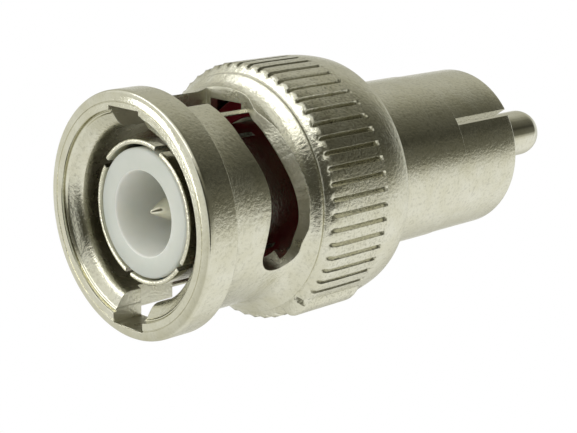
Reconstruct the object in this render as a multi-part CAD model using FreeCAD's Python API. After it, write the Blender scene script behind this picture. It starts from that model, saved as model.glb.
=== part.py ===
import FreeCAD, Part
import math
import os

# Adapter between a BNC socket and an RCA socket, in millimetres.
# It stands on the coupling nut's front rim at z = 0, and +Z runs along its axis to the RCA pin's tip.
# The nut's two lug channels lie on the X axis, and angles turn from +X towards +Y.

# Coupling nut, outside
sleeve_wall = 0.45
sleeve_length = 4.7
flange_height = 0.8
flange_length = 2.0
flange_edge_chamfer = 0.1
rim_rounding_height = 0.6
rim_rounding_length = 0.22
rim_chord_count = 3
collar_length = 1.5
collar_height = 0.87
collar_bulge = 0.09
collar_groove = 0.1
knurl_chamfer_length = 0.65
knurl_chamfer_height = 0.55
knurl_length = 4.15
shoulder_length = 2.1
shoulder_drop = 0.26
rear_edge_chamfer = 0.12

# Knurl: straight ribs between narrow V grooves, with one smooth raised pad
knurl_count = 54
knurl_depth = 0.28
knurl_groove_width = 0.36
pad_first_groove = 20
pad_ribs = 2
pad_height = 0.33
pad_overrun = 0.4
pad_chamfer = 0.2

# Coupling nut, inside
nut_bore_radius = 4.95
lead_in_height = 0.75
lead_in_length = 0.65
chamber_front_z = 7.9
end_ring_width = 0.98
end_ring_seat_length = 1.4

# Bayonet: the lugs of the socket pass the channels, climb the ramps and drop into the detents
lug_tip_radius = 5.5
lug_tip_clearance = 0.25
channel_width = 2.64
channel_window_width = 3.3
channel_floor_radius = 6.35
ramp_foot_angle = 42.0
ramp_crest_angle = 76.0
detent_angle = 107.0
ramp_foot_z = 4.6
ramp_crest_z = 5.2
detent_radius = 1.33
detent_z = 6.12
rear_climb_angle = 25.0
window_rear_start_z = 6.84
window_rear_end_z = 7.5
lug_count = 2
curve_point_count = 13

# Slotted outer contact
ferrule_radius = 4.05
ferrule_wall = 0.28
ferrule_front_z = 1.15
ferrule_cut_width = 0.45
ferrule_cut_depth = 7.0
ferrule_cut_angles = (20.5, 127.0)
ferrule_tip_chamfer = 0.07
ferrule_tail_length = 2.4
ferrule_root_step = 0.25

# Body, gasket and spring stack
gasket_thickness = 1.0
body_flange_thickness = 0.9
body_flange_clearance = 0.3
barrel_radius = 4.8
body_rear_bore_radius = 3.3
tail_length = 3.4
spring_height = 1.4
spring_wall = 0.28
spring_wave_count = 3
washer_thickness = 0.4
washer_radial_clearance = 0.25
barrel_clearance = 0.12
end_ring_thickness = 1.3
end_ring_chamfer = 0.25

# BNC insulator and centre pin
insulator_front_gap = 0.05
insulator_radial_gap = 0.09
socket_nose_radius = 2.415
socket_nose_depth = 8.0
insulator_edge_chamfer = 0.1
bnc_pin_radius = 0.675
bnc_pin_tip_radius = 0.1
bnc_pin_tip_length = 1.2
bnc_pin_recess = 0.56
bnc_pin_root_step = 0.2
bnc_pin_tail_radius = 0.5
bnc_pin_tail_length = 2.3

# RCA plug
rca_shell_bore_radius = 4.15
rca_shell_wall = 1.13
rca_shell_gap = 0.05
rca_shell_length = 13.05
rca_slot_length = 5.2
rca_slot_width = 0.46
rca_slot_angle = 55.5
rca_front_relief = 0.04
rca_edge_chamfer = 0.1
rca_insulator_thickness = 2.0
rca_shank_radius = 1.2
rca_collar_radius = 2.0
rca_collar_thickness = 0.4
rca_pin_radius = 1.59
rca_pin_reach = 8.46

# How far a cutting tool reaches past the faces that it cuts
cut_overrun = 0.5

# Places along the axis that follow from the sizes above
sleeve_end_z = flange_length + sleeve_length
collar_end_z = sleeve_end_z + collar_length
knurl_start_z = collar_end_z + knurl_chamfer_length
knurl_end_z = knurl_start_z + knurl_length
nut_rear_z = knurl_end_z + shoulder_length
lug_track_radius = lug_tip_radius + lug_tip_clearance
sleeve_radius = lug_track_radius + sleeve_wall
rim_radius = sleeve_radius + flange_height
collar_radius = sleeve_radius + collar_height
knurl_radius = collar_radius + knurl_chamfer_height
nut_rear_radius = knurl_radius - shoulder_drop
chamber_radius = barrel_radius + barrel_clearance + end_ring_width
body_flange_radius = chamber_radius - body_flange_clearance
end_ring_front_z = nut_rear_z - end_ring_seat_length
washer_front_z = end_ring_front_z - washer_thickness
body_flange_rear_z = washer_front_z - spring_height
body_flange_front_z = body_flange_rear_z - body_flange_thickness
gasket_front_z = body_flange_front_z - gasket_thickness
rca_shell_front_z = nut_rear_z + rca_shell_gap
rca_shell_end_z = rca_shell_front_z + rca_shell_length
rca_shell_radius = rca_shell_bore_radius + rca_shell_wall
tail_end_z = rca_shell_front_z + tail_length
ferrule_inner_radius = ferrule_radius - ferrule_wall
ferrule_root_radius = ferrule_radius + ferrule_root_step
ferrule_end_z = body_flange_front_z + ferrule_tail_length
insulator_front_z = ferrule_front_z + insulator_front_gap
insulator_radius = ferrule_inner_radius - insulator_radial_gap
nose_floor_z = insulator_front_z + socket_nose_depth
bnc_pin_root_radius = bnc_pin_radius + bnc_pin_root_step
rca_insulator_end_z = tail_end_z + rca_insulator_thickness
rca_collar_end_z = rca_insulator_end_z + rca_collar_thickness
rca_pin_tip_z = rca_shell_end_z + rca_pin_reach

axis_start = FreeCAD.Vector(0, 0, 0)
axis_up = FreeCAD.Vector(0, 0, 1)


def point(radius, z, angle=0.0):
    turn = math.radians(angle)
    return FreeCAD.Vector(radius * math.cos(turn), radius * math.sin(turn), z)


def line(start, end):
    return Part.LineSegment(start, end).toShape()


def arc(start, middle, end):
    return Part.Arc(start, middle, end).toShape()


def polygon(corners):
    """Closed run of straight edges through (radius, z) corners."""
    points = [point(radius, z) for radius, z in corners]
    return [line(points[k - 1], points[k]) for k in range(len(points))]


def revolved(edges):
    """Solid of revolution round the adapter's axis from a closed profile in the XZ plane."""
    wire = Part.Wire(Part.__sortEdges__(edges))
    return Part.Face(wire).revolve(axis_start, axis_up, 360)


def tube(outer_radius, inner_radius, start_z, end_z):
    ring = Part.makeCylinder(outer_radius, end_z - start_z, point(0, start_z))
    return ring.cut(Part.makeCylinder(inner_radius, end_z - start_z, point(0, start_z)))


def block(width, start_x, end_x, start_z, end_z):
    """Box centred on the X axis in its width, from one x to another."""
    corner = FreeCAD.Vector(start_x, -width / 2, start_z)
    return Part.makeBox(end_x - start_x, width, end_z - start_z, corner)


def turned(shape, angle):
    copy = shape.copy()
    copy.rotate(axis_start, axis_up, angle)
    return copy


def smooth_step(low, high, share):
    share = min(max(share, 0.0), 1.0)
    return low + (high - low) * (1 - math.cos(math.pi * share)) / 2


def ramp_front(angle):
    """Height of the wall that a lug rides on: up the ramp, over its crest and down to the detent."""
    detent_front_z = detent_z - detent_radius
    if angle < ramp_crest_angle:
        share = (angle - ramp_foot_angle) / (ramp_crest_angle - ramp_foot_angle)
        return smooth_step(ramp_foot_z, ramp_crest_z, share)
    share = (angle - ramp_crest_angle) / (detent_angle - ramp_crest_angle)
    return smooth_step(ramp_crest_z, detent_front_z, share)


def window_rear(angle):
    """Height of the window's rear edge, which climbs with the ramp."""
    share = (angle - rear_climb_angle) / (detent_angle - rear_climb_angle)
    return smooth_step(window_rear_start_z, window_rear_end_z, share)


def track_rear(angle):
    """Rear end of the lug track, which opens into the wider chamber."""
    return chamber_front_z + cut_overrun


def wrapped_curve(height_at, radius, start_angle, end_angle):
    """Smooth curve on a cylinder, whose height is a function of the angle."""
    step = (end_angle - start_angle) / (curve_point_count - 1)
    angles = [start_angle + step * k for k in range(curve_point_count)]
    curve = Part.BSplineCurve()
    curve.interpolate([point(radius, height_at(angle), angle) for angle in angles])
    return curve.toShape()


def wrapped_block(front_at, rear_at, inner_radius, outer_radius, start_angle, end_angle):
    """Solid wrapped round the axis, between two curves and two radii."""
    front_in = wrapped_curve(front_at, inner_radius, start_angle, end_angle)
    front_out = wrapped_curve(front_at, outer_radius, start_angle, end_angle)
    rear_in = wrapped_curve(rear_at, inner_radius, start_angle, end_angle)
    rear_out = wrapped_curve(rear_at, outer_radius, start_angle, end_angle)
    faces = [
        Part.makeRuledSurface(front_in, front_out),
        Part.makeRuledSurface(rear_in, rear_out),
        Part.makeRuledSurface(front_in, rear_in),
        Part.makeRuledSurface(front_out, rear_out),
    ]
    for angle in (start_angle, end_angle):
        corners = [
            point(inner_radius, front_at(angle), angle),
            point(outer_radius, front_at(angle), angle),
            point(outer_radius, rear_at(angle), angle),
            point(inner_radius, rear_at(angle), angle),
        ]
        faces.append(Part.Face(Part.makePolygon(corners + corners[:1])))
    shell = Part.makeShell(faces)
    shell.sewShape()
    solid = Part.makeSolid(shell)
    if solid.Volume < 0:
        solid.reverse()
    return solid


def rim_corners():
    """Flattened rounding of the rim, in a few chords from its flat front face to its outside."""
    corners = []
    for k in range(rim_chord_count + 1):
        turn = math.radians(90.0 * k / rim_chord_count)
        inset = rim_rounding_height * (1 - math.sin(turn))
        corners.append((rim_radius - inset, rim_rounding_length * (1 - math.cos(turn))))
    return corners


def nut_outside():
    """Outer form of the coupling nut, from its rounded rim to the shoulder behind the knurl."""
    flange_chamfer = min(flange_edge_chamfer, flange_height / 2)
    swell_z = (sleeve_end_z + collar_end_z) / 2
    swell_radius = (sleeve_radius + collar_radius) / 2 + collar_bulge
    # A shoulder that leaves the knurl level has a quarter of its drop halfway
    shoulder_middle = knurl_radius - shoulder_drop / 4
    return revolved(polygon([(0, 0)] + rim_corners() + [
        (rim_radius, flange_length - flange_chamfer),
        (rim_radius - flange_chamfer, flange_length),
        (sleeve_radius, flange_length),
        (sleeve_radius, sleeve_end_z),
        (swell_radius, swell_z),
        (collar_radius, collar_end_z),
        (collar_radius - collar_groove, collar_end_z + collar_groove / 2),
        (collar_radius, collar_end_z + collar_groove),
        (knurl_radius, knurl_start_z),
        (knurl_radius, knurl_end_z),
        (shoulder_middle, knurl_end_z + shoulder_length / 2),
        (nut_rear_radius, nut_rear_z - rear_edge_chamfer),
        (nut_rear_radius - rear_edge_chamfer, nut_rear_z),
        (0, nut_rear_z),
    ]))


def nut_inside():
    """Space inside the nut: lead-in cone, bore, chamber and the seat of the end ring."""
    mouth_radius = nut_bore_radius + lead_in_height
    return revolved(polygon([
        (0, -cut_overrun),
        (mouth_radius, -cut_overrun),
        (mouth_radius, 0),
        (nut_bore_radius, lead_in_length),
        (nut_bore_radius, chamber_front_z),
        (chamber_radius, chamber_front_z),
        (chamber_radius, nut_rear_z + cut_overrun),
        (0, nut_rear_z + cut_overrun),
    ]))


def knurl_groove():
    """Cutter of one groove on the X axis: a long V that starts at the collar's groove."""
    bottom = knurl_radius - knurl_depth
    outside = knurl_radius + pad_height + cut_overrun
    half_width = knurl_groove_width / 2 * (outside - bottom) / knurl_depth
    start_z = collar_end_z + collar_groove
    section = [(bottom, 0), (outside, half_width), (outside, -half_width)]
    corners = [FreeCAD.Vector(x, y, start_z) for x, y in section]
    front = Part.Face(Part.makePolygon(corners + corners[:1]))
    return front.extrude(FreeCAD.Vector(0, 0, knurl_end_z - start_z))


def groove_angle(number):
    """Grooves lie halfway between ribs, and a rib's middle is on the X axis."""
    return (number + 0.5) * 360.0 / knurl_count


def knurl_grooves():
    under_pad = range(pad_first_groove + 1, pad_first_groove + pad_ribs)
    return [turned(knurl_groove(), groove_angle(k)) for k in range(knurl_count) if k not in under_pad]


def knurl_pad():
    """Smooth raised pad that takes the place of a few ribs."""
    start_angle = groove_angle(pad_first_groove)
    span = groove_angle(pad_first_groove + pad_ribs) - start_angle
    start_z = collar_end_z + collar_groove
    end_z = knurl_end_z + pad_overrun
    top_radius = knurl_radius + pad_height
    corners = [
        (sleeve_radius, start_z),
        (top_radius, start_z),
        (top_radius, end_z - pad_chamfer),
        (top_radius - pad_chamfer, end_z),
        (sleeve_radius, end_z),
    ]
    section = Part.Face(Part.Wire(polygon(corners)))
    return turned(section.revolve(axis_start, axis_up, span), start_angle)


def bayonet_cutters():
    """Cutters for one lug: its channel, the window over the ramp, the track inside and the detent."""
    inside = nut_bore_radius - cut_overrun
    outside = knurl_radius
    track_end_z = track_rear(detent_angle)
    channel = block(channel_width, 0, chamber_radius, -cut_overrun, track_end_z)
    mouth = block(channel_width, 0, channel_floor_radius, -cut_overrun, flange_length + cut_overrun)
    entry = block(channel_window_width, inside, outside, flange_length, window_rear_start_z)
    window = wrapped_block(ramp_front, window_rear, inside, outside, 0, detent_angle)
    track = wrapped_block(ramp_front, track_rear, inside, lug_track_radius, 0, detent_angle)
    outward = FreeCAD.Vector(1, 0, 0)
    detent = Part.makeCylinder(detent_radius, outside - inside, FreeCAD.Vector(inside, 0, detent_z), outward)
    return [channel, mouth, entry, window, track, turned(detent, detent_angle)]


def build_coupling_nut():
    nut = nut_outside()
    turns = [360.0 * k / lug_count for k in range(lug_count)]
    nut = nut.cut(nut_inside())
    for turn in turns:
        for cutter in bayonet_cutters():
            nut = nut.cut(turned(cutter, turn))
    nut = nut.fuse(knurl_pad())
    return nut.cut(Part.Compound(knurl_grooves()))


def build_end_ring():
    """Ring pressed into the rear of the nut, which keeps the spring stack in."""
    outer_radius = chamber_radius
    inner_radius = barrel_radius + barrel_clearance
    rear_z = end_ring_front_z + end_ring_thickness
    return revolved(polygon([
        (inner_radius, end_ring_front_z),
        (outer_radius, end_ring_front_z),
        (outer_radius, rear_z),
        (inner_radius + end_ring_chamfer, rear_z),
        (inner_radius, rear_z - end_ring_chamfer),
    ]))


def build_thrust_washer():
    outer_radius = chamber_radius - washer_radial_clearance
    inner_radius = barrel_radius + barrel_clearance
    return tube(outer_radius, inner_radius, washer_front_z, end_ring_front_z)


def build_wave_washer():
    """Spring washer with sine waves between the body flange and the thrust washer."""
    outer_radius = chamber_radius - washer_radial_clearance
    inner_radius = barrel_radius + barrel_clearance
    middle_z = body_flange_rear_z + (washer_front_z - body_flange_rear_z) / 2
    swing = (washer_front_z - body_flange_rear_z - spring_wall) / 2

    def lower_face(angle):
        return middle_z - spring_wall / 2 + swing * math.sin(math.radians(angle * spring_wave_count))

    def upper_face(angle):
        return lower_face(angle) + spring_wall

    sector = 180.0 / spring_wave_count
    washer = None
    for k in range(2 * spring_wave_count):
        start = (k - 0.5) * sector
        piece = wrapped_block(lower_face, upper_face, inner_radius, outer_radius, start, start + sector)
        washer = piece if washer is None else washer.fuse(piece)
    return washer


def build_bnc_body():
    return revolved(polygon([
        (ferrule_root_radius, body_flange_front_z),
        (body_flange_radius, body_flange_front_z),
        (body_flange_radius, body_flange_rear_z),
        (barrel_radius, body_flange_rear_z),
        (barrel_radius, rca_shell_front_z),
        (rca_shell_bore_radius, rca_shell_front_z),
        (rca_shell_bore_radius, tail_end_z),
        (body_rear_bore_radius, tail_end_z),
        (body_rear_bore_radius, ferrule_end_z),
        (ferrule_root_radius, ferrule_end_z),
    ]))


def build_outer_contact():
    """Thin ferrule, split into fingers by saw cuts right across it."""
    contact = revolved(polygon([
        (ferrule_inner_radius, ferrule_front_z),
        (ferrule_radius - ferrule_tip_chamfer, ferrule_front_z),
        (ferrule_radius, ferrule_front_z + ferrule_tip_chamfer),
        (ferrule_radius, gasket_front_z),
        (ferrule_root_radius, gasket_front_z),
        (ferrule_root_radius, ferrule_end_z),
        (ferrule_inner_radius, ferrule_end_z),
    ]))
    cut_end_z = ferrule_front_z + ferrule_cut_depth
    for angle in ferrule_cut_angles:
        saw = block(ferrule_cut_width, -rim_radius, rim_radius, ferrule_front_z - cut_overrun, cut_end_z)
        contact = contact.cut(turned(saw, angle))
    return contact


def build_gasket():
    """Silicone ring in front of the body's flange, as wide as the flange."""
    return tube(body_flange_radius, ferrule_root_radius, gasket_front_z, body_flange_front_z)


def build_bnc_insulator():
    return revolved(polygon([
        (socket_nose_radius, insulator_front_z + insulator_edge_chamfer),
        (socket_nose_radius + insulator_edge_chamfer, insulator_front_z),
        (insulator_radius - insulator_edge_chamfer, insulator_front_z),
        (insulator_radius, insulator_front_z + insulator_edge_chamfer),
        (insulator_radius, ferrule_end_z),
        (body_rear_bore_radius, ferrule_end_z),
        (body_rear_bore_radius, tail_end_z),
        (bnc_pin_root_radius, tail_end_z),
        (bnc_pin_root_radius, nose_floor_z),
        (socket_nose_radius, nose_floor_z),
    ]))


def build_bnc_pin():
    tip_z = insulator_front_z + bnc_pin_recess
    return revolved(polygon([
        (0, tip_z),
        (bnc_pin_tip_radius, tip_z),
        (bnc_pin_radius, tip_z + bnc_pin_tip_length),
        (bnc_pin_radius, nose_floor_z),
        (bnc_pin_root_radius, nose_floor_z),
        (bnc_pin_root_radius, tail_end_z),
        (bnc_pin_tail_radius, tail_end_z),
        (bnc_pin_tail_radius, tail_end_z + bnc_pin_tail_length),
        (0, tail_end_z + bnc_pin_tail_length),
    ]))


def build_rca_shell():
    """Plain sleeve, pressed on the body's tail and split by one saw pass across its mouth."""
    relief_radius = rca_shell_radius - rca_front_relief
    slot_root_z = rca_shell_end_z - rca_slot_length
    chamfer_z = rca_shell_end_z - rca_edge_chamfer
    shell = revolved(polygon([
        (rca_shell_bore_radius, rca_shell_front_z),
        (rca_shell_radius, rca_shell_front_z),
        (rca_shell_radius, slot_root_z),
        (relief_radius, slot_root_z),
        (relief_radius, chamfer_z),
        (relief_radius - rca_edge_chamfer, rca_shell_end_z),
        (rca_shell_bore_radius, rca_shell_end_z),
    ]))
    saw = block(rca_slot_width, -rim_radius, rim_radius, slot_root_z, rca_shell_end_z + cut_overrun)
    return shell.cut(turned(saw, rca_slot_angle))


def build_rca_insulator():
    return tube(rca_shell_bore_radius, rca_shank_radius, tail_end_z, rca_insulator_end_z)


def build_rca_pin():
    """Domed centre pin with a collar on the insulator and a bored shank for the BNC pin's tail."""
    dome_z = rca_pin_tip_z - rca_pin_radius
    turn = math.sqrt(0.5) * rca_pin_radius
    bore_end_z = tail_end_z + bnc_pin_tail_length
    corners = [
        (0, rca_pin_tip_z),
        (0, bore_end_z),
        (bnc_pin_tail_radius, bore_end_z),
        (bnc_pin_tail_radius, tail_end_z),
        (rca_shank_radius, tail_end_z),
        (rca_shank_radius, rca_insulator_end_z),
        (rca_collar_radius, rca_insulator_end_z),
        (rca_collar_radius, rca_collar_end_z),
        (rca_pin_radius, rca_collar_end_z),
        (rca_pin_radius, dome_z),
    ]
    points = [point(radius, z) for radius, z in corners]
    edges = [line(points[k - 1], points[k]) for k in range(1, len(points))]
    edges.append(arc(points[-1], point(turn, dome_z + turn), points[0]))
    return revolved(edges)


def main():
    os.makedirs("parts", exist_ok=True)
    nodes = {
        "coupling_nut": build_coupling_nut(),
        "nut_end_ring": build_end_ring(),
        "thrust_washer": build_thrust_washer(),
        "wave_washer": build_wave_washer(),
        "bnc_body": build_bnc_body(),
        "outer_contact": build_outer_contact(),
        "gasket": build_gasket(),
        "bnc_insulator": build_bnc_insulator(),
        "bnc_pin": build_bnc_pin(),
        "rca_shell": build_rca_shell(),
        "rca_insulator": build_rca_insulator(),
        "rca_pin": build_rca_pin(),
    }
    for name, shape in nodes.items():
        shape.exportStep("parts/" + name + ".step")
        print(name, "solids", len(shape.Solids), "valid", shape.isValid(), "volume", round(shape.Volume, 2))


main()
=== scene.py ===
# %% [markdown]
# A plug adapter, standing on the rim of its coupling nut with its axis along +Z.
# One end is a bayonet nut round a slotted sleeve and a white insulator. The other end is a plain split
# sleeve round a domed pin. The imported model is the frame, and each visible piece gets a finer form on it.
# Blender works in metres, but a thing this small reads better in millimetres. So sizes are written in mm
# and meet MM where Blender takes them.

# %% Load the frame
import math

import bpy
import numpy as np
from mathutils import Euler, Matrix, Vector


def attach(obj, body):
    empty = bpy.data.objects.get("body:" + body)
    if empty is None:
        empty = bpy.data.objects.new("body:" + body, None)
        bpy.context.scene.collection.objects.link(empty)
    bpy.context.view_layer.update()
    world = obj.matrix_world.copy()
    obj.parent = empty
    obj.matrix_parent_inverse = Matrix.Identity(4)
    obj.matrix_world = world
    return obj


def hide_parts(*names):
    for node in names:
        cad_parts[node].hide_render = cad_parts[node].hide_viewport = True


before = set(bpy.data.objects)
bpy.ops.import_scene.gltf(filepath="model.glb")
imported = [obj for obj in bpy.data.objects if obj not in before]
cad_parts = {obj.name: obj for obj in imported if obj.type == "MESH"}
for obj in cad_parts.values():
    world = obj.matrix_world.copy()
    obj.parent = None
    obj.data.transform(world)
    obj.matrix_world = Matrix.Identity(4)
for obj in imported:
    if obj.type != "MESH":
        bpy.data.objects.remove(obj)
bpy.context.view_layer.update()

MM = 0.001

# %% [markdown]
# The photograph looks up into the mouth of the nut from a hand's width away, with the axis running off to
# the upper right. The camera stands where those lines of sight meet: below the rim and well off the axis.
# A real lens of that angle gives the strong foreshortening, so nothing is stretched to get it.

# %% Camera
CAMERA_PLACE = (19.600 * MM, 58.982 * MM, -45.317 * MM)
CAMERA_TURN = (165.7176, -45.7085, 89.3271)
FOCAL_LENGTH_IN_PIXELS = 1400
PHOTO_WIDTH_IN_PIXELS = 577
SENSOR_WIDTH = 36.0

bpy.ops.object.select_all(action="DESELECT")
bpy.ops.object.camera_add(location=CAMERA_PLACE, rotation=Euler([math.radians(a) for a in CAMERA_TURN]))
camera = bpy.context.object
camera.name = "photo_camera"
camera.data.sensor_width = SENSOR_WIDTH
camera.data.lens = FOCAL_LENGTH_IN_PIXELS / PHOTO_WIDTH_IN_PIXELS * SENSOR_WIDTH
camera.data.clip_start = 0.001
camera.data.dof.use_dof = False
bpy.context.scene.camera = camera
bpy.context.scene.view_settings.view_transform = "Standard"
print("lens", round(camera.data.lens, 2), "mm")

# %% [markdown]
# Polished metal has hardly any colour of its own: it shows the room. The adapter was shot in a light tent,
# bright below and behind, with one dark gap beside the lens. The gap runs along the axis as an olive band
# with a crisp lower edge. A photograph of a studio could stand in for the tent, but a colour ramp round
# the axis is easier to steer: each stop is a share of the full turn and the light that comes from there.

# %% Walls of the light tent
TENT = [
    (0.000, 0.92), (0.060, 0.74), (0.110, 0.62), (0.160, 0.76), (0.200, 0.88), (0.240, 0.84), (0.300, 0.55),
    (0.410, 0.56), (0.460, 0.45), (0.500, 0.30), (0.550, 0.16), (0.600, 0.11), (0.645, 0.06), (0.690, 0.13),
    (0.735, 0.17), (0.765, 0.50), (0.790, 0.82), (0.830, 1.00), (0.970, 1.00), (1.000, 0.92),
]
TENT_FRONT = [
    (0.000, 0.92), (0.110, 0.70), (0.200, 0.88), (0.280, 0.80), (0.340, 0.95), (0.540, 0.95), (0.600, 0.70),
    (0.650, 0.20), (0.700, 0.10), (0.750, 0.22), (0.790, 0.75), (0.830, 1.00), (1.000, 0.92),
]


def tent_colour(level):
    """Warm white in the light, drifting to olive in the dark."""
    return (level, level * (0.97 + 0.03 * level), level * (0.72 + 0.24 * level), 1.0)


def add_node(tree, kind, sockets=None, **settings):
    """Adds a node. Its settings go first, because they decide which sockets it has."""
    node = tree.nodes.new(kind)
    for setting, value in settings.items():
        setattr(node, setting, value)
    for socket, value in (sockets or {}).items():
        node.inputs[socket].default_value = value
    return node


def tent_wall(tree, levels):
    """A colour ramp with one stop for each (share of the turn, level of light)."""
    wall = add_node(tree, "ShaderNodeValToRGB")
    stops = wall.color_ramp
    stops.interpolation = "EASE"
    while len(stops.elements) < len(levels):
        stops.elements.new(0.5)
    for stop, (position, level) in zip(stops.elements, levels):
        stop.position = position
        stop.color = tent_colour(level)
    return wall


print("tent stops", len(TENT), "and", len(TENT_FRONT), "darkest", min(level for share, level in TENT))

# %% [markdown]
# Most faces of the adapter look straight out from the axis and show the first ramp. The leaning faces of the
# collar and the chamfer look forward, past the rim, where only the lens is dark. So a second ramp takes over
# there, and the two are mixed by how far a ray leans forward.

# %% Light tent round the axis
world = bpy.data.worlds.new("light_tent")
bpy.context.scene.world = world
world.use_nodes = True
sky = world.node_tree
sky.nodes.clear()


def wire(tree, *pairs):
    """Joins each output to the input beside it."""
    for output, socket in pairs:
        tree.links.new(output, socket)


place = add_node(sky, "ShaderNodeTexCoord")
parts = add_node(sky, "ShaderNodeSeparateXYZ")
around = add_node(sky, "ShaderNodeMath", operation="ARCTAN2")
share = add_node(sky, "ShaderNodeMath", {1: 1 / (2 * math.pi), 2: 0.5}, operation="MULTIPLY_ADD")
rear_wall = tent_wall(sky, TENT)
front_wall = tent_wall(sky, TENT_FRONT)
lean = add_node(sky, "ShaderNodeMapRange", {"From Min": 0.18, "From Max": -0.05},
                interpolation_type="SMOOTHSTEP")
walls = add_node(sky, "ShaderNodeMix", data_type="RGBA")
wire(
    sky,
    (place.outputs["Generated"], parts.inputs[0]),
    (parts.outputs["Y"], around.inputs[0]),
    (parts.outputs["X"], around.inputs[1]),
    (around.outputs[0], share.inputs[0]),
    (share.outputs[0], rear_wall.inputs["Fac"]),
    (share.outputs[0], front_wall.inputs["Fac"]),
    (parts.outputs["Z"], lean.inputs["Value"]),
    (lean.outputs["Result"], walls.inputs["Factor"]),
    (rear_wall.outputs["Color"], walls.inputs["A"]),
    (front_wall.outputs["Color"], walls.inputs["B"]),
)
print("world", world.name)

# %% [markdown]
# Two spots of the tent don't follow the ramps. The photographer and the lens are a dark round patch, and the
# closed ends of the tent, straight ahead and behind, are an even pale grey. The camera itself sees white
# paper: the rays that come from it get a plain white background, and all others get the tent.

# %% Dark lens, pale ends and white paper
LENS_DIRECTION = (0.092, 0.522, -0.848)
PALE_END = (0.78, 0.79, 0.75, 1.0)

behind_lens = add_node(sky, "ShaderNodeVectorMath", {1: LENS_DIRECTION}, operation="DOT_PRODUCT")
near = add_node(sky, "ShaderNodeMapRange", {"From Min": 0.84, "From Max": 0.94},
                interpolation_type="SMOOTHSTEP")
shaded = add_node(sky, "ShaderNodeMix", {"B": tent_colour(0.07)}, data_type="RGBA")
tilt = add_node(sky, "ShaderNodeMath", operation="ABSOLUTE")
poles = add_node(sky, "ShaderNodeMapRange", {"From Min": 0.93, "From Max": 0.995})
ends = add_node(sky, "ShaderNodeMix", {"B": PALE_END}, data_type="RGBA")
tent = add_node(sky, "ShaderNodeBackground")
paper = add_node(sky, "ShaderNodeBackground", {"Color": (1.0, 1.0, 1.0, 1.0)})
rays = add_node(sky, "ShaderNodeLightPath")
seen = add_node(sky, "ShaderNodeMixShader")
out = add_node(sky, "ShaderNodeOutputWorld")
wire(
    sky,
    (place.outputs["Generated"], behind_lens.inputs[0]),
    (behind_lens.outputs["Value"], near.inputs["Value"]),
    (near.outputs["Result"], shaded.inputs["Factor"]),
    (walls.outputs["Result"], shaded.inputs["A"]),
    (parts.outputs["Z"], tilt.inputs[0]),
    (tilt.outputs[0], poles.inputs["Value"]),
    (poles.outputs["Result"], ends.inputs["Factor"]),
    (shaded.outputs["Result"], ends.inputs["A"]),
    (ends.outputs["Result"], tent.inputs["Color"]),
    (rays.outputs["Is Camera Ray"], seen.inputs["Fac"]),
    (tent.outputs[0], seen.inputs[1]),
    (paper.outputs[0], seen.inputs[2]),
    (seen.outputs[0], out.inputs["Surface"]),
)
print("nodes in the tent", len(sky.nodes))

# %% [markdown]
# Two soft boxes hang in front of the mouth and below it. The long one puts the white scallops on the chamfer
# before the knurl. The small one lights up one side of the rim, which leans a little outwards. Each is an
# area lamp, aimed at the mouth and hidden from the camera.

# %% Soft boxes
SOFT_BOX_DISTANCE = 0.3


def soft_box(name, compass, rise, roll, length, width, energy):
    """A lamp aimed at the mouth, in the direction given by two angles, and turned about its own axis."""
    bpy.ops.object.select_all(action="DESELECT")
    a, b = math.radians(compass), math.radians(rise)
    direction = Vector((math.cos(b) * math.cos(a), math.cos(b) * math.sin(a), math.sin(b)))
    spot = direction * SOFT_BOX_DISTANCE
    bpy.ops.object.light_add(type="AREA", location=spot)
    lamp = bpy.context.object
    lamp.name = name
    lamp.data.shape = "RECTANGLE"
    lamp.data.size = length
    lamp.data.size_y = width
    lamp.data.energy = energy
    aim = (-spot).to_track_quat("-Z", "Y") @ Euler((0, 0, math.radians(roll))).to_quaternion()
    lamp.rotation_euler = aim.to_euler()
    lamp.visible_camera = False
    print(name, "at", [round(c, 3) for c in spot])


soft_box("long_soft_box", compass=-12, rise=-31, roll=-25, length=0.42, width=0.06, energy=0.20)
soft_box("rim_soft_box", compass=-94, rise=-48, roll=0, length=0.10, width=0.05, energy=0.07)

# %% [markdown]
# The floor is pale card, a hair below the rim. The photograph's camera is under it, so the card is only
# solid from above and lets that view through: a face knows its back, and there it is made clear. The metal
# doesn't mirror the card either, because the tent already holds all that the photograph reflects.

# %% Floor card
def new_material(name):
    """A new material, with its node tree and the surface that Blender puts in it."""
    material = bpy.data.materials.new(name)
    material.use_nodes = True
    return material, material.node_tree, material.node_tree.nodes["Principled BSDF"]


card, tree, surface = new_material("floor_card")
surface.inputs["Base Color"].default_value = (0.93, 0.93, 0.92, 1.0)
surface.inputs["Roughness"].default_value = 0.8
side = add_node(tree, "ShaderNodeNewGeometry")
clear = add_node(tree, "ShaderNodeBsdfTransparent")
one_sided = add_node(tree, "ShaderNodeMixShader")
wire(
    tree,
    (side.outputs["Backfacing"], one_sided.inputs["Fac"]),
    (surface.outputs[0], one_sided.inputs[1]),
    (clear.outputs[0], one_sided.inputs[2]),
    (one_sided.outputs[0], tree.nodes["Material Output"].inputs["Surface"]),
)
bpy.ops.object.select_all(action="DESELECT")
bpy.ops.mesh.primitive_plane_add(size=1.2, location=(0, 0, -0.02 * MM))
floor = bpy.context.object
floor.name = "floor_card"
floor.data.materials.append(card)
floor.visible_diffuse = False
floor.visible_glossy = False
floor.visible_transmission = False
floor.visible_shadow = False
print("floor at", round(floor.location.z / MM, 3), "mm")

# %% [markdown]
# Plated metal is a clear mirror spoiled in three ways: a faint patchiness of the nickel, fine grain left by
# casting or tumbling, and rings left by the lathe. Each is a noise of its own size. The rings come from
# noise that only reads the distance from the axis and the height, so they wrap round the piece.

# %% Patches and rings
RING_NOISES_TO_A_METRE = 9000


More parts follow.
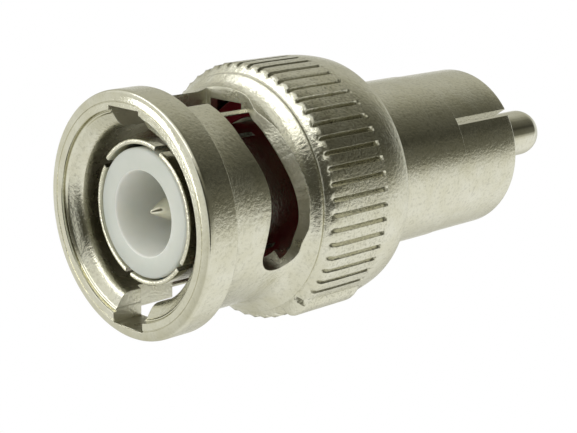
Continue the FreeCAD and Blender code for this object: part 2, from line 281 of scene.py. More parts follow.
def drifting_colour(tree, place, scale, detail, softness, shade, colour):
    """Colour that drifts from a shade to a lighter one in soft patches, with the noise that drives it."""
    patches = add_node(tree, "ShaderNodeTexNoise", {"Scale": scale, "Detail": detail})
    tint = add_node(tree, "ShaderNodeValToRGB")
    dark, light = tint.color_ramp.elements
    dark.position, light.position = 0.5 - softness, 0.5 + softness
    dark.color = list(shade) + [1]
    light.color = list(colour) + [1]
    wire(
        tree,
        (place.outputs["Object"], patches.inputs["Vector"]),
        (patches.outputs["Fac"], tint.inputs["Fac"]),
    )
    return patches, tint


def lathe_rings(tree, place, depth, below):
    """Bump of rings round the axis, with their depth in mm, on top of the bump below."""
    split = add_node(tree, "ShaderNodeSeparateXYZ")
    flat = add_node(tree, "ShaderNodeVectorMath", {1: (1, 1, 0)}, operation="MULTIPLY")
    reach = add_node(tree, "ShaderNodeVectorMath", operation="LENGTH")
    wrap = add_node(tree, "ShaderNodeCombineXYZ")
    lathe = add_node(tree, "ShaderNodeTexNoise", {"Scale": RING_NOISES_TO_A_METRE, "Detail": 3})
    rings = add_node(tree, "ShaderNodeBump", {"Strength": 1.0, "Distance": depth * MM})
    wire(
        tree,
        (place.outputs["Object"], flat.inputs[0]),
        (place.outputs["Object"], split.inputs[0]),
        (flat.outputs["Vector"], reach.inputs[0]),
        (reach.outputs["Value"], wrap.inputs["X"]),
        (split.outputs["Z"], wrap.inputs["Z"]),
        (wrap.outputs[0], lathe.inputs["Vector"]),
        (lathe.outputs["Fac"], rings.inputs["Height"]),
        (below.outputs["Normal"], rings.inputs["Normal"]),
    )
    return rings


print("rings are about", round(1 / RING_NOISES_TO_A_METRE / MM, 2), "mm wide")

# %% [markdown]
# The grain does two things on real plating. It breaks up the reflection, which is bump, and its pits hold a
# little tarnish, which is colour. One noise drives both, so that the dark specks sit in the hollows. The
# Bevel node gives every edge a small worn radius in the shading, and the geometry is left alone.

# %% Plated metal
NICKEL = (0.70, 0.69, 0.59)
TARNISH = (0.90, 0.89, 0.83)


def plated(name, colour, rough, grain_size, grain, rings, edge, pit=0.88):
    """Nickel finish: grain and rings are heights in mm, edge is the worn radius of corners, pit the shade."""
    metal, tree, skin = new_material(name)
    skin.inputs["Metallic"].default_value = 1.0
    place = add_node(tree, "ShaderNodeTexCoord")
    shade = [c * k for c, k in zip(colour, TARNISH)]
    patches, tint = drifting_colour(tree, place, 800, 4, 0.2, shade, colour)
    speckle = add_node(tree, "ShaderNodeTexNoise",
                       {"Scale": 1 / (grain_size * MM), "Detail": 5, "Roughness": 0.6})
    pits = add_node(tree, "ShaderNodeMapRange",
                    {"From Min": 0.30, "From Max": 0.50, "To Min": pit, "To Max": 1.0})
    pitted = add_node(tree, "ShaderNodeVectorMath", operation="SCALE")
    dull = add_node(tree, "ShaderNodeMapRange",
                    {"From Min": 0.3, "From Max": 0.7, "To Min": rough * 0.8, "To Max": rough * 1.3})
    corner = add_node(tree, "ShaderNodeBevel", {"Radius": edge * MM}, samples=4)
    grainy = add_node(tree, "ShaderNodeBump", {"Strength": 1.0, "Distance": grain * MM})
    turned = lathe_rings(tree, place, rings, grainy)
    wire(
        tree,
        (place.outputs["Object"], speckle.inputs["Vector"]),
        (speckle.outputs["Fac"], pits.inputs["Value"]),
        (tint.outputs["Color"], pitted.inputs[0]),
        (pits.outputs["Result"], pitted.inputs["Scale"]),
        (pitted.outputs["Vector"], skin.inputs["Base Color"]),
        (patches.outputs["Fac"], dull.inputs["Value"]),
        (dull.outputs["Result"], skin.inputs["Roughness"]),
        (speckle.outputs["Fac"], grainy.inputs["Height"]),
        (corner.outputs["Normal"], grainy.inputs["Normal"]),
        (turned.outputs["Normal"], skin.inputs["Normal"]),
    )
    return metal


cast_nickel = plated("cast_nickel", NICKEL, rough=0.13, grain_size=0.21, grain=0.028,
                     rings=0.0008, edge=0.06, pit=0.82)
print("first metal", cast_nickel.name)

# %% [markdown]
# One plating bath, but many ways of making: the cast body is grainy, the rim is buffed, the milled walls
# are dull, the bore is dull and darkened with painted shade, the knurl has darker pits in its grain, the
# turned sleeves show the lathe and the pins are nearly mirrors. Each gets its own numbers, and the colour
# is the same nickel except where painted shade darkens it, in the bore and on the sleeve behind the mouth.

# %% Metals
# A darker nickel for the deep bore: painted shade.
BORE_SHADE_NICKEL = (0.44, 0.43, 0.33)
# A darker nickel for the sleeve seen through the window: painted shade.
SHADED_NICKEL = (0.40, 0.38, 0.33)
BRIGHT_NICKEL = (0.72, 0.71, 0.62)
STEEL = (0.55, 0.54, 0.50)

rim_nickel = plated("rim_nickel", NICKEL, rough=0.09, grain_size=0.20, grain=0.006,
                    rings=0.0008, edge=0.03, pit=0.90)
knurled_nickel = plated("knurled_nickel", NICKEL, rough=0.16, grain_size=0.15, grain=0.030,
                        rings=0.0, edge=0.025, pit=0.62)
cut_nickel = plated("cut_nickel", NICKEL, rough=0.28, grain_size=0.14, grain=0.040,
                    rings=0.0, edge=0.10)
turned_nickel = plated("turned_nickel", NICKEL, rough=0.13, grain_size=0.20, grain=0.020,
                       rings=0.0050, edge=0.04, pit=0.80)
# The bore's finish uses the darker nickel, which is painted shade.
shaded_bore_nickel = plated("shaded_bore_nickel", BORE_SHADE_NICKEL, rough=0.26, grain_size=0.13, grain=0.040,
                     rings=0.0, edge=0.10, pit=0.75)
# This finish, with its darker nickel and deep dark pits, is painted shade.
sparkling_shaded_nickel = plated("sparkling_shaded_nickel", SHADED_NICKEL, rough=0.10, grain_size=0.12, grain=0.060,
                          rings=0.0, edge=0.04, pit=0.35)
pin_nickel = plated("pin_nickel", BRIGHT_NICKEL, rough=0.08, grain_size=0.25, grain=0.002,
                    rings=0.0012, edge=0.02)
spring_steel = plated("spring_steel", STEEL, rough=0.28, grain_size=0.20, grain=0.006,
                      rings=0.001, edge=0.04)
print("metals", [m.name for m in bpy.data.materials if "nickel" in m.name or "steel" in m.name])

# %% [markdown]
# The insulators are a waxy white plastic that light enters a little way, and the gasket is dark red
# silicone with a soft gloss. Both are moulded, so a very fine, shallow grain is enough. In the hole of the
# insulator and on its edge, a lighter copy of the plastic is painted light.

# %% Plastic and silicone
def moulded(name, colour, shade, glow):
    """Moulded plastic: colour drifts to shade in soft patches, and glow is how deep light goes, in mm."""
    plastic, tree, skin = new_material(name)
    skin.inputs["Subsurface Weight"].default_value = 0.7
    skin.inputs["Subsurface Radius"].default_value = (1.0, 0.9, 0.8)
    skin.inputs["Subsurface Scale"].default_value = glow * MM
    place = add_node(tree, "ShaderNodeTexCoord")
    patches, tint = drifting_colour(tree, place, 500, 3, 0.15, shade, colour)
    fine = add_node(tree, "ShaderNodeTexNoise", {"Scale": 6000, "Detail": 4})
    dull = add_node(tree, "ShaderNodeMapRange", {"To Min": 0.34 * 0.85, "To Max": 0.34 * 1.15})
    bump = add_node(tree, "ShaderNodeBump", {"Distance": 0.004 * MM})
    wire(
        tree,
        (place.outputs["Object"], fine.inputs["Vector"]),
        (tint.outputs["Color"], skin.inputs["Base Color"]),
        (fine.outputs["Fac"], dull.inputs["Value"]),
        (dull.outputs["Result"], skin.inputs["Roughness"]),
        (fine.outputs["Fac"], bump.inputs["Height"]),
        (bump.outputs["Normal"], skin.inputs["Normal"]),
    )
    return plastic


white_plastic = moulded("white_plastic", (0.70, 0.725, 0.675), (0.65, 0.685, 0.63), glow=1.8)
# The lighter copy for the insulator's hole is painted light.
lit_plastic = moulded("lit_plastic", (0.93, 0.935, 0.88), (0.88, 0.89, 0.83), glow=1.8)
red_silicone = moulded("red_silicone", (0.52, 0.010, 0.045), (0.40, 0.008, 0.034), glow=0.2)
print("materials in all", len(bpy.data.materials))

# %% [markdown]
# Nearly every piece here came off a lathe, so each starts as one circle of edges. The circle is extruded
# and scaled from station to station along the profile, as one would follow a drawing by hand. A run that
# comes back to its first station closes into a ring once its doubles are welded. Spin would do as well,
# but stations are easier to change one at a time.

# %% Turning
def turned_piece(name, stations, segments, material):
    """Extrudes a circle through (radius, z) stations in mm, and leaves the piece in edit mode."""
    bpy.ops.object.select_all(action="DESELECT")
    radius, height = stations[0]
    bpy.ops.mesh.primitive_circle_add(vertices=segments, radius=radius * MM, location=(0, 0, height * MM))
    piece = bpy.context.object
    piece.name = piece.data.name = name
    piece.data.materials.append(material)
    bpy.ops.object.transform_apply(location=True)
    bpy.ops.object.mode_set(mode="EDIT")
    bpy.ops.mesh.select_mode(type="VERT")
    bpy.ops.mesh.select_all(action="SELECT")
    for next_radius, next_height in stations[1:]:
        rise = (0, 0, (next_height - height) * MM)
        bpy.ops.mesh.extrude_region_move(TRANSFORM_OT_translate={"value": rise})
        grow = next_radius / radius
        bpy.ops.transform.resize(value=(grow, grow, 1), center_override=(0, 0, 0))
        radius, height = next_radius, next_height
    print(name, "stations", len(stations))
    return piece


def rounded(centre_radius, centre_z, size, start, end, steps):
    """Stations along an arc, from one angle to another; 0 points outwards and 90 up."""
    angles = [math.radians(start + (end - start) * k / steps) for k in range(steps + 1)]
    return [(centre_radius + size * math.cos(a), centre_z + size * math.sin(a)) for a in angles]


def weld():
    """Merges the doubles of the piece in edit mode, turns its faces outwards and leaves edit mode."""
    bpy.ops.mesh.select_all(action="SELECT")
    bpy.ops.mesh.remove_doubles(threshold=0.002 * MM)
    bpy.ops.mesh.normals_make_consistent(inside=False)
    bpy.ops.object.mode_set(mode="OBJECT")


print("a quarter round in 4 steps:", [(round(r, 3), round(z, 3)) for r, z in rounded(1, 0, 0.1, 0, 90, 4)])

# %% [markdown]
# The coupling nut is a turned shell. Its sections are written apart, as on a drawing: the lead-in of the
# mouth with a fine groove, a rim that leans out a little before it rounds over, a collar that swells up
# slowly to an edge, a chamfer, the knurl and a soft shoulder.

# %% Sections of the coupling nut
SLEEVE, RIM, COLLAR, KNURL, REAR = 6.2, 7.0, 7.07, 7.62, 7.36
BORE, CHAMBER = 4.95, 5.9
BORE_END, CHAMFER_FRONT, KNURL_FRONT, KNURL_END, NUT_END = 7.9, 8.34, 8.85, 13.0, 15.1

LEAD_IN = [
    (4.97, 1.05), (5.03, 0.88), (5.13, 0.74), (5.28, 0.60), (5.45, 0.48), (5.62, 0.37), (5.70, 0.31),
    (5.735, 0.27), (5.755, 0.22), (5.79, 0.18), (5.835, 0.18), (5.865, 0.22), (5.88, 0.26), (5.91, 0.26),
    (5.93, 0.03), (5.96, 0.0), (6.02, 0.0), (6.33, 0.0), (6.35, 0.05), (6.39, 0.05), (6.41, 0.0),
]
RIM_ROUNDING = [
    (6.43, 0.0), (6.50, 0.009), (6.66, 0.036), (6.80, 0.066), (6.87, 0.09), (6.92, 0.125), (6.955, 0.17),
    (6.985, 0.23), (6.997, 0.30), (RIM, 0.38),
]
COLLAR_RISE = [
    (0.0, 6.4), (0.0, 6.6), (0.02, 6.80), (0.05, 6.98), (0.085, 7.14), (0.13, 7.30), (0.20, 7.45),
    (0.30, 7.61), (0.41, 7.75), (0.54, 7.88), (0.67, 8.00), (0.77, 8.09), (0.84, 8.16), (0.87, 8.21),
]
collar_swell = [(SLEEVE + rise, z) for rise, z in COLLAR_RISE]
collar_groove = [(COLLAR - 0.03, 8.24), (COLLAR - 0.12, 8.27), (COLLAR - 0.12, 8.31)]
chamfer_steps = [
    (COLLAR + (KNURL - COLLAR) * k / 6, CHAMFER_FRONT + (KNURL_FRONT - CHAMFER_FRONT) * k / 6)
    for k in range(7)
]
knurl_steps = [(KNURL, z) for z in (9.0, 10.2, 11.4, 12.4, 12.55, 12.65, 12.75, 12.85, 12.95, KNURL_END)]
shoulder = [(KNURL - (KNURL - REAR) * (k / 8) ** 2, KNURL_END + 1.98 * k / 8) for k in range(1, 9)]
print("knurl from", KNURL_FRONT, "to", KNURL_END, "mm")

# %% [markdown]
# Strung together, the sections run from the inside of the mouth over the rim to the rear face and back
# through the wide chamber. Four columns of vertices to a rib leave room for the knurl. The last extrusion
# stays at its height and only shrinks, which is the step between chamber and bore.

# %% Coupling nut blank
RIBS = 54
COLUMNS = 4

stations = (
    [(BORE, BORE_END), (BORE, 4.0), (BORE, 1.3)] + LEAD_IN + RIM_ROUNDING
    + [(RIM, 1.86)] + rounded(RIM - 0.1, 1.9, 0.1, 0, 90, 4)
    + [(SLEEVE + 0.09, 2.0), (SLEEVE + 0.03, 2.03), (SLEEVE, 2.09)]
    + collar_swell + collar_groove + chamfer_steps + knurl_steps + shoulder
    + [(REAR - 0.03, NUT_END - 0.04), (REAR - 0.1, NUT_END), (CHAMBER + 0.08, NUT_END)]
    + [(CHAMBER, NUT_END - 0.08)]
    + [(CHAMBER, BORE_END)]
)
nut = turned_piece("coupling_nut_body", stations, RIBS * COLUMNS, cast_nickel)
bpy.ops.mesh.extrude_region_move(TRANSFORM_OT_translate={"value": (0, 0, 0)})
bpy.ops.transform.resize(value=(BORE / CHAMBER, BORE / CHAMBER, 1), center_override=(0, 0, 0))
weld()
print("blank has", len(nut.data.vertices), "vertices")

# %% [markdown]
# A knurling wheel pressed the ribs in: narrow V grooves that cut right through the front chamfer, which
# leaves its edge scalloped, and lift out in a rounded end at the rear. Groove by groove this would be
# endless, so at each station the vertices of all grooves are picked together and scaled inwards.

# %% Knurl
PITCH = 360 / RIBS
GROOVE_DEPTH = 0.28
GROOVE_HALF_WIDTH = 1.10
LIFT_START, LIFT_LENGTH = 12.5, 0.45
OUTER_SKIN = 6.5
PAD_START, PAD_END = 20.5 * PITCH, 22.5 * PITCH


def pick(piece, test):
    """Selects the vertices whose (radius, angle, z), in mm and degrees, pass the test."""
    bpy.ops.object.mode_set(mode="OBJECT")
    mesh = piece.data
    spots = np.empty(len(mesh.vertices) * 3, np.float32)
    mesh.vertices.foreach_get("co", spots)
    x, y, z = spots.reshape(-1, 3).T / MM
    chosen = test(np.hypot(x, y), np.degrees(np.arctan2(y, x)) % 360, z)
    mesh.polygons.foreach_set("select", np.zeros(len(mesh.polygons), bool))
    mesh.edges.foreach_set("select", np.zeros(len(mesh.edges), bool))
    mesh.vertices.foreach_set("select", chosen)
    bpy.ops.object.mode_set(mode="EDIT")
    return int(chosen.sum())


def scale_to(radius, target):
    """Scales what is picked about the axis, from one radius to another."""
    bpy.ops.transform.resize(value=(target / radius, target / radius, 1), center_override=(0, 0, 0))


def column(angle):
    """Which of a rib's four columns: 0 its middle, 2 the groove's bottom, 1 and 3 the groove's edges."""
    return np.round(angle / (PITCH / COLUMNS)).astype(int) % COLUMNS


def under_pad(angle):
    """True for what the smooth pad covers."""
    return (angle > PAD_START + 1) & (angle < PAD_END - 1)


def beside_pad(angle):
    """True for the two sides of the smooth pad."""
    return (abs(angle - PAD_START) < 0.5) | (abs(angle - PAD_END) < 0.5)


picked = 0
for radius, height in chamfer_steps[1:] + knurl_steps[:-1]:
    lift = max(0.0, (height - LIFT_START) / LIFT_LENGTH)
    bottom = KNURL - GROOVE_DEPTH * (1 - lift ** 2)
    if bottom < radius:
        picked += pick(nut, lambda r, a, z: (abs(z - height) < 0.02) & (r > OUTER_SKIN) & (column(a) == 2)
                       & ~under_pad(a) & ~beside_pad(a))
        scale_to(radius, bottom)
print("grooves", RIBS - 1, "vertices pressed in", picked)

# %% [markdown]
# The grooves are narrower than the ribs, so the columns at their edges are turned towards them. At the front
# end the same columns drop a little, which rounds the ribs where the wheel ran out over the chamfer.

# %% Edges of the grooves
for side, way in ((1, 1), (3, -1)):
    pick(nut, lambda r, a, z: (z > CHAMFER_FRONT - 0.01) & (z < KNURL_END + 0.01) & (r > OUTER_SKIN)
         & (column(a) == side) & ~under_pad(a))
    step = way * math.radians(PITCH / COLUMNS - GROOVE_HALF_WIDTH)
    bpy.ops.transform.rotate(value=-step, orient_axis="Z", center_override=(0, 0, 0))
for (radius, height), drop in ((chamfer_steps[-2], 0.03), (chamfer_steps[-1], 0.10), (knurl_steps[0], 0.03)):
    pick(nut, lambda r, a, z: (abs(z - height) < 0.02) & (r > OUTER_SKIN) & (column(a) % 2 == 1)
         & ~under_pad(a))
    scale_to(radius, radius - drop)
print("groove width", round(2 * GROOVE_HALF_WIDTH * math.pi / 180 * KNURL, 2), "mm")

# %% [markdown]
# One smooth pad stands proud of the knurl. It is a soft block about two ribs wide, so the columns under it
# are scaled outwards, less at its sides and ends, and never below the nut itself.

# %% Smooth pad
PAD_TOP = KNURL + 0.32
PAD_MIDDLE = (PAD_START + PAD_END) / 2
PAD_SIDE_FALL = (0.0, 0.01, 0.03, 0.11)

pad_stations = collar_groove + chamfer_steps + knurl_steps + [s for s in shoulder if s[1] < 13.6]
for radius, height in pad_stations:
    front_fall = 0.75 * max(0.0, (KNURL_FRONT - height) / 0.65) ** 2
    rear_fall = 0.24 * max(0.0, (height - KNURL_END) / 0.5)
    for offset, side_fall in enumerate(PAD_SIDE_FALL):
        top = max(PAD_TOP - front_fall - rear_fall - side_fall, radius)
        pick(nut, lambda r, a, z: (abs(z - height) < 0.012) & (r > OUTER_SKIN)
             & (np.round(abs(a - PAD_MIDDLE) / (PITCH / COLUMNS)) == offset))
        scale_to(radius, top)
bpy.ops.object.mode_set(mode="OBJECT")
print("pad stands", round(PAD_TOP - KNURL, 2), "mm proud")

# %% [markdown]
# The bayonet slots are milled from outside: a channel for each lug comes in through the mouth, opens into a
# window, climbs a ramp and ends in a round seat. Inside the wall a wider track follows the same course. The
# sides are heights that change with the angle from the channel, eased in and out as a cutter leaves them.

# %% Course of the bayonet
SEAT_ANGLE = 107


def eased(low, high, share):
    """From low to high, slowly at both ends, as the share goes from 0 to 1."""
    share = min(max(share, 0.0), 1.0)
    return low + (high - low) * (1 - math.cos(math.pi * share)) / 2


def window_front(angle):
    """Height of the window's side towards the rim."""
    if angle < 76:
        return eased(4.6, 5.2, (angle - 42) / 34)
    return eased(5.2, 4.80, (angle - 76) / 31)


def window_rear(angle):
    """Height of the window's other side: down from the entry, up along the ramp and down to the seat."""
    if angle < 32:
        return eased(7.36, 6.84, (angle - 14) / 18)
    if angle < 94:
        return eased(6.84, 7.70, (angle - 43) / 51)
    return eased(7.70, 7.44, (angle - 94) / 13)


def track_front(angle):
    """The track inside starts 2 degrees before the window, and stays a hair behind its front."""
    if angle < SEAT_ANGLE + 2:
        return window_front(angle - 2) + 0.03
    return eased(4.83, 6.12, (angle - SEAT_ANGLE - 2) / 11)


print("window is", round(window_rear(90) - window_front(90), 2), "mm wide before its seat")

# %% [markdown]
# Such a slot could be cut by many small blocks, but those leave steps. One block that is extruded and turned
# a few degrees at a time follows the ramp smoothly: after each turn its end is stretched and shifted to the
# heights that belong to the new angle. Straight passes are plain blocks.

# %% Milling tools
def milled_path(name, front_at, rear_at, inner, outer, end, steps):
    """Block that runs round the axis from angle 0 to end, between two heights and two radii."""
    bpy.ops.object.select_all(action="DESELECT")
    bpy.ops.mesh.primitive_plane_add(size=1, location=(0, 0, 0), rotation=(math.pi / 2, 0, 0))
    path = bpy.context.object
    path.name = name
    path.scale = ((outer - inner) * MM, (rear_at(0) - front_at(0)) * MM, 1)
    path.location = ((outer + inner) / 2 * MM, 0, (rear_at(0) + front_at(0)) / 2 * MM)
    bpy.ops.object.transform_apply(location=True, rotation=True, scale=True)
    bpy.ops.object.mode_set(mode="EDIT")
    bpy.ops.mesh.select_mode(type="VERT")
    bpy.ops.mesh.select_all(action="SELECT")
    turn = end / steps
    for k in range(steps):
        angle = k * turn
        bpy.ops.mesh.extrude_region_move(TRANSFORM_OT_translate={"value": (0, 0, 0)})
        bpy.ops.transform.rotate(value=-math.radians(turn), orient_axis="Z", center_override=(0, 0, 0))
        middle = (front_at(angle) + rear_at(angle)) / 2
        now, then = rear_at(angle) - front_at(angle), rear_at(angle + turn) - front_at(angle + turn)
        bpy.ops.transform.resize(value=(1, 1, then / now), center_override=(0, 0, middle * MM))
        shift = (front_at(angle + turn) + rear_at(angle + turn)) / 2 - middle
        bpy.ops.transform.translate(value=(0, 0, shift * MM))
    bpy.ops.mesh.select_all(action="SELECT")
    bpy.ops.mesh.normals_make_consistent(inside=False)
    bpy.ops.object.mode_set(mode="OBJECT")
    return path


def milled_block(name, width, start_x, end_x, start_z, end_z):
    """Straight block along X, for a channel or a saw pass."""
    bpy.ops.object.select_all(action="DESELECT")
    bpy.ops.mesh.primitive_cube_add(size=1)
    block = bpy.context.object
    block.name = name
    block.scale = ((end_x - start_x) * MM, width * MM, (end_z - start_z) * MM)
    block.location = ((start_x + end_x) / 2 * MM, 0, (start_z + end_z) / 2 * MM)
    bpy.ops.object.transform_apply(location=True, rotation=True, scale=True)
    return block


def turned_about_axis(tool, degrees):
    """Turns a tool about Z and puts the turn into its mesh."""
    bpy.ops.object.select_all(action="DESELECT")
    tool.select_set(True)
    bpy.context.view_layer.objects.active = tool
    tool.rotation_euler = (0, 0, math.radians(degrees))
    bpy.ops.object.transform_apply(location=True, rotation=True, scale=True)
    return tool


WINDOW_TURNS, TRACK_TURNS = 54, 60
print("the window's block turns by", round(SEAT_ANGLE / WINDOW_TURNS, 2), "degrees at a time")

# %% [markdown]
# The window's rear outer edge leans back, most where the ramp is in its middle. Nested picks, each a little
# narrower than the last, lift that edge in small steps, which gives a smooth rise and fall without a curve.
# The round seat, the track and the straight passes complete the set. No two faces of the tools lie in one
# plane, because an exact cut is easily lost there.

# %% Bayonet tools
WINDOW_INNER, WINDOW_OUTER = 5.6, 7.6
TRACK_INNER, TRACK_OUTER = 4.5, 5.68
CHANNEL_WIDTH, MOUTH_WIDTH, ENTRY_WIDTH = 2.64, 2.60, 3.3
LEAN_STEPS, LEAN_STEP = 12, 0.1
SEAT_RADIUS, SEAT_HEIGHT = 1.33, 6.12
TRACK_END, TRACK_REAR, TRACK_LEAD = 120, 8.2, 2


def round_seat():
    """A round cutter that comes in from outside at the end of the ramp."""
    angle = math.radians(SEAT_ANGLE)
    bpy.ops.object.select_all(action="DESELECT")
    bpy.ops.mesh.primitive_cylinder_add(
        vertices=64, radius=SEAT_RADIUS * MM, depth=4 * MM, rotation=(0, math.pi / 2, angle),
        location=(6.4 * math.cos(angle) * MM, 6.4 * math.sin(angle) * MM, SEAT_HEIGHT * MM))
    seat = bpy.context.object
    bpy.ops.object.transform_apply(location=True, rotation=True, scale=True)
    return seat


def leaning_window():
    """The window's tool, with the outer edge of its rear side leaned back."""
    window = milled_path("window", window_front, window_rear, WINDOW_INNER, WINDOW_OUTER,
                         SEAT_ANGLE, WINDOW_TURNS)
    for k in range(LEAN_STEPS):
        pick(window, lambda r, a, z: (r > WINDOW_OUTER - 0.1) & (z > 6.6)
             & (a > 27 + 1.4 * k) & (a < 88 - 3 * k))
        bpy.ops.transform.translate(value=(0, 0, LEAN_STEP * MM))
    bpy.ops.object.mode_set(mode="OBJECT")
    return window


def inner_track():
    """The track's tool, a little shallower near the channel."""
    track = milled_path("track", track_front, lambda angle: TRACK_REAR, TRACK_INNER, TRACK_OUTER,
                        TRACK_END, TRACK_TURNS)
    pick(track, lambda r, a, z: (r > TRACK_OUTER - 0.08) & (a < 23))
    scale_to(1.0, 0.96)
    bpy.ops.mesh.select_all(action="SELECT")
    bpy.ops.transform.rotate(value=math.radians(TRACK_LEAD), orient_axis="Z", center_override=(0, 0, 0))
    bpy.ops.object.mode_set(mode="OBJECT")
    return track


def lug_tools(turn, mouth_floor):
    """All tools of one lug, turned to its side of the nut."""
    tools = [
        leaning_window(),
        inner_track(),
        milled_block("channel", CHANNEL_WIDTH, 0.3, WINDOW_INNER, -0.5, TRACK_REAR - 0.01),
        milled_block("mouth", MOUTH_WIDTH, 0.4, mouth_floor, -0.6, 2.5),
        milled_block("entry", ENTRY_WIDTH, 4.4, 8.0, 2.004, 7.352),
        round_seat(),
    ]
    return [turned_about_axis(tool, turn) for tool in tools]


print("lean of the window", round(LEAN_STEPS * LEAN_STEP, 1), "mm")

# %% [markdown]
# Each tool is taken out of the nut by a boolean cut, one after another, as on the milling machine. The cut
# walls take the tool's own finish, because a milled face is duller than the casting round it. The widest
# radius is printed after each cut: if a cut ever fails, the tool's corner shows there at once.

# %% Milling the nut
def carve(piece, tool):
    """Takes the tool's shape out of the piece; the cut faces get the tool's finish, or the piece's own."""
    if not tool.data.materials:
        tool.data.materials.append(piece.data.materials[0])
    bpy.ops.object.select_all(action="DESELECT")
    bpy.context.view_layer.objects.active = piece
    cut = piece.modifiers.new("carve", "BOOLEAN")
    cut.operation = "DIFFERENCE"
    cut.solver = "EXACT"
    cut.object = tool
    cut.material_mode = "TRANSFER"
    bpy.ops.object.modifier_apply(modifier=cut.name)
    bpy.data.objects.remove(tool)
    reach = max(math.hypot(v.co.x, v.co.y) for v in piece.data.vertices) / MM
    print(piece.name, "cut, widest radius", round(reach, 3))


nut.data.materials.append(cut_nickel)
for turn, mouth_floor in ((0, 6.05), (180, 6.35)):
    for tool in lug_tools(turn, mouth_floor):
        tool.data.materials.append(cut_nickel)
        carve(nut, tool)

# %% [markdown]
# The nut is one casting with several finishes, so its faces choose a material by their place: the bore
# has painted shade, the rim is buffed and the knurl has its own grain. All but real corners are shaded
# smooth, and the piece rides on the nut's body of the frame, so that it slides and turns with it.

# %% Finishes of the nut
KNURLED, BORED, BUFFED = 2, 3, 4


def finished(piece, body, replaced):
    """Smooths all but real corners, and gives the piece its place in the frame."""
    bpy.ops.object.select_all(action="DESELECT")
    piece.select_set(True)
    bpy.context.view_layer.objects.active = piece
    bpy.ops.object.shade_smooth_by_angle(angle=math.radians(32))
    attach(piece, body)
    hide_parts(replaced)
    piece.data.calc_loop_triangles()
    print(piece.name, "triangles", len(piece.data.loop_triangles))


for material in (knurled_nickel, shaded_bore_nickel, rim_nickel):
    nut.data.materials.append(material)
# Faces in the bore take the darker nickel, which is painted shade.
for face in nut.data.polygons:
    radius = math.hypot(face.center.x, face.center.y) / MM
    height = face.center.z / MM
    if radius < BORE + 0.07:
        face.material_index = BORED
    if radius > 5.7 and height < 0.35:
        face.material_index = BUFFED
    if radius > RIM and KNURL_FRONT - 0.02 < height < KNURL_END + 0.1:
        face.material_index = KNURLED
finished(nut, "nut", "coupling_nut")

# %% [markdown]
# The outer contact is a thin sleeve, sawn into four fingers by two passes right across it. The fingers are
# never quite true: the upper one stands a little proud, which shows as a dark gap at the mouth. Behind the
# mouth its plating is rough and sparkles through the nut's window, and it is darkened with painted shade.

# %% Slotted sleeve
FINGER_INNER, FINGER_OUTER = 3.77, 4.05
FINGER_STEPS = (1.8, 2.4, 3.0, 3.6, 4.4, 5.2, 6.2)
FINGER_SPREADS = ((1.5, 1.008), (2.1, 1.007), (2.7, 1.006), (3.3, 1.005), (4.0, 1.004), (4.8, 1.003))
SAW_ANGLES, SAW_WIDTH, SLOT_END = (20.5, 127.0), 0.45, 8.15


def saw_across(piece, width, start_z, end_z, angle):
    """One pass of a saw right across a sleeve."""
    carve(piece, turned_about_axis(milled_block("saw", width, -8, 8, start_z, end_z), angle))


ferrule = turned_piece("slotted_sleeve", (
    [(FINGER_INNER, 9.9)] + [(FINGER_INNER, z) for z in reversed(FINGER_STEPS)]
    + [(FINGER_INNER, 1.21), (3.79, 1.17), (3.83, 1.15)] + rounded(3.97, 1.23, 0.08, -90, 0, 4)
    + [(FINGER_OUTER, z) for z in FINGER_STEPS] + [(FINGER_OUTER, 9.94), (4.08, 10.0), (4.3, 10.0)]
    + [(4.3, 13.4), (FINGER_INNER, 13.4), (FINGER_INNER, 9.9)]
), 144, turned_nickel)
weld()
for angle in SAW_ANGLES:
    saw_across(ferrule, SAW_WIDTH, 0.5, SLOT_END, angle)
for limit, spread in FINGER_SPREADS:
    pick(ferrule, lambda r, a, z: (z < limit) & ((a > 305) | (a < 22)))
    scale_to(1.0, spread)
bpy.ops.object.mode_set(mode="OBJECT")
# Behind the mouth the sleeve takes the darker nickel with deep dark pits: painted shade.
ferrule.data.materials.append(sparkling_shaded_nickel)
for face in ferrule.data.polygons:
    if face.center.z > 2.0 * MM:
        face.material_index = 1
finished(ferrule, "root", "outer_contact")

# %% [markdown]
# Gasket and insulator are plain moulded rings. Their small edge radii matter more than their outlines,
# because each radius carries a line of light. The insulator's stem reaches far back round the pin, as the
# real one does, although only its front shows.

# %% Gasket and insulator
HOLE, HOLE_END = 2.415, 9.2
INSULATOR, INSULATOR_STEM, STEM_END = 3.68, 3.3, 18.55
PIN_STEM = 0.875
LIT_WITHIN = 2.5

gasket = turned_piece("red_gasket", (
    [(4.3, 11.0), (4.3, 10.1), (4.36, 10.02)] + rounded(5.42, 10.18, 0.18, -90, 0, 6)
    + rounded(5.54, 10.94, 0.06, 0, 90, 3) + [(4.3, 11.0)]
), 120, red_silicone)
weld()
finished(gasket, "root", "gasket")

insulator = turned_piece("white_insulator", (
    [(HOLE, HOLE_END), (HOLE, 1.34)] + rounded(HOLE + 0.12, 1.32, 0.12, 180, 270, 5)
    + rounded(INSULATOR - 0.14, 1.34, 0.14, -90, 0, 5)
    + [(INSULATOR, 13.4), (INSULATOR_STEM, 13.4), (INSULATOR_STEM, STEM_END), (PIN_STEM, STEM_END)]
    + [(PIN_STEM, HOLE_END), (HOLE, HOLE_END)]
), 128, white_plastic)
weld()
# Faces in and near the hole take the lighter copy: painted light.
insulator.data.materials.append(lit_plastic)
for face in insulator.data.polygons:
    if face.center.xy.length < LIT_WITHIN * MM:
        face.material_index = 1
finished(insulator, "root", "bnc_insulator")

# %% [markdown]
# The centre pin is turned too, with a cone at its front and a thicker stem inside. A turned shape is open at
# its ends. Merging all that lies at an end, within some radius, to one point closes it, and keeps the tip
# as sharp as the real one.

# %% Centre pin
def close_end(piece, end, width):
    """Merges what lies at this height, within this radius, to one point."""
    pick(piece, lambda r, a, z: (abs(z - end) < 0.004) & (r < width))
    bpy.ops.mesh.merge(type="CENTER")


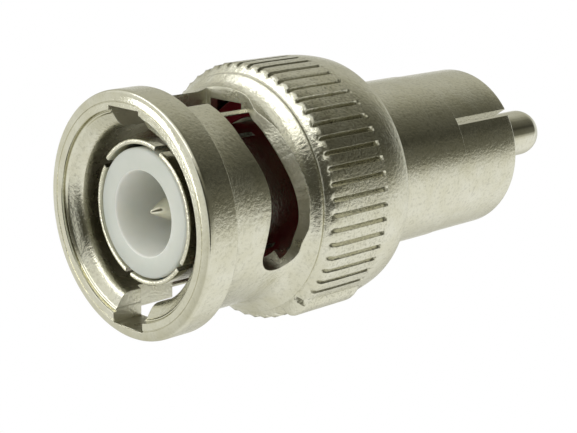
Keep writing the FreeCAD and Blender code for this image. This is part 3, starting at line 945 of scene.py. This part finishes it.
PIN, PIN_TAIL = 0.675, 0.5
PIN_TIP, PIN_END = 1.765, 20.85
pin = turned_piece("bnc_centre_pin", (
    [(0.02, PIN_TIP), (0.06, 1.775), (0.10, 1.81), (0.62, 2.88), (0.66, 2.95), (PIN, 3.02)]
    + [(PIN, HOLE_END), (PIN_STEM, HOLE_END), (PIN_STEM, STEM_END), (PIN_TAIL, STEM_END)]
    + [(PIN_TAIL, PIN_END), (0.02, PIN_END)]
), 64, pin_nickel)
for end in (PIN_TIP, PIN_END):
    close_end(pin, end, 1.0)
weld()
finished(pin, "root", "bnc_pin")

# %% [markdown]
# The plain sleeve of the other plug has one saw pass across its mouth, which leaves two slots, and a faint
# step where the slots start.

# %% Plain sleeve
SHELL_BORE, SHELL_OUTER, SHELL_FRONT = 4.15, 5.28, 5.24
SHELL_SLOT_WIDTH, SHELL_SLOT_ANGLE = 0.46, 55.5

shell = turned_piece("split_sleeve", (
    [(SHELL_BORE, 28.0), (SHELL_BORE, 15.15), (5.20, 15.15)] + rounded(5.2, 15.23, 0.08, -90, 0, 3)
    + [(SHELL_OUTER, z) for z in (17.0, 19.0, 21.0, 22.98)]
    + [(SHELL_FRONT, z) for z in (23.02, 25.0, 27.0)]
    + rounded(5.12, 28.08, 0.12, 0, 90, 5) + rounded(4.25, 28.1, 0.1, 90, 180, 4) + [(SHELL_BORE, 28.0)]
), 180, turned_nickel)
weld()
saw_across(shell, SHELL_SLOT_WIDTH, 23.0, 29.0, SHELL_SLOT_ANGLE)
finished(shell, "root", "rca_shell")

# %% [markdown]
# The pin of the plain plug stands on a collar and ends in a full dome, which is a quarter round of the
# pin's own radius. The dome stops just short of its top, and its last small ring is merged to a point.

# %% Domed pin
DOMED_PIN = 1.59
DOME_TIP = 36.66

domed_pin = turned_piece("domed_pin", (
    [(0.02, PIN_END), (PIN_TAIL, PIN_END), (PIN_TAIL, STEM_END), (1.2, STEM_END), (1.2, 20.55)]
    + [(1.92, 20.55), (2.0, 20.63), (2.0, 20.87), (1.92, 20.95), (1.62, 20.95)]
    + [(DOMED_PIN, 20.99), (DOMED_PIN, 27.0), (DOMED_PIN, 31.0)]
    + rounded(0, DOME_TIP - DOMED_PIN, DOMED_PIN, 0, 89.2, 16)
), 96, pin_nickel)
close_end(domed_pin, PIN_END, 0.05)
close_end(domed_pin, DOME_TIP, 0.1)
weld()
finished(domed_pin, "root", "rca_pin")

# %% [markdown]
# The pieces inside keep their packed forms, which are right as they are, and take finishes like the rest.
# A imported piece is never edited: only the material in its object's slots is swapped.

# %% Finishes of the inner pieces
INNER_FINISHES = {
    "bnc_body": turned_nickel,
    "nut_end_ring": turned_nickel,
    "thrust_washer": spring_steel,
    "wave_washer": spring_steel,
    "rca_insulator": white_plastic,
}
for name, material in INNER_FINISHES.items():
    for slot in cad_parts[name].material_slots:
        slot.material = material
        print(name, "takes", material.name)

# %% [markdown]
# At the end nothing is left selected.

# %% Finish
bpy.ops.object.select_all(action="DESELECT")
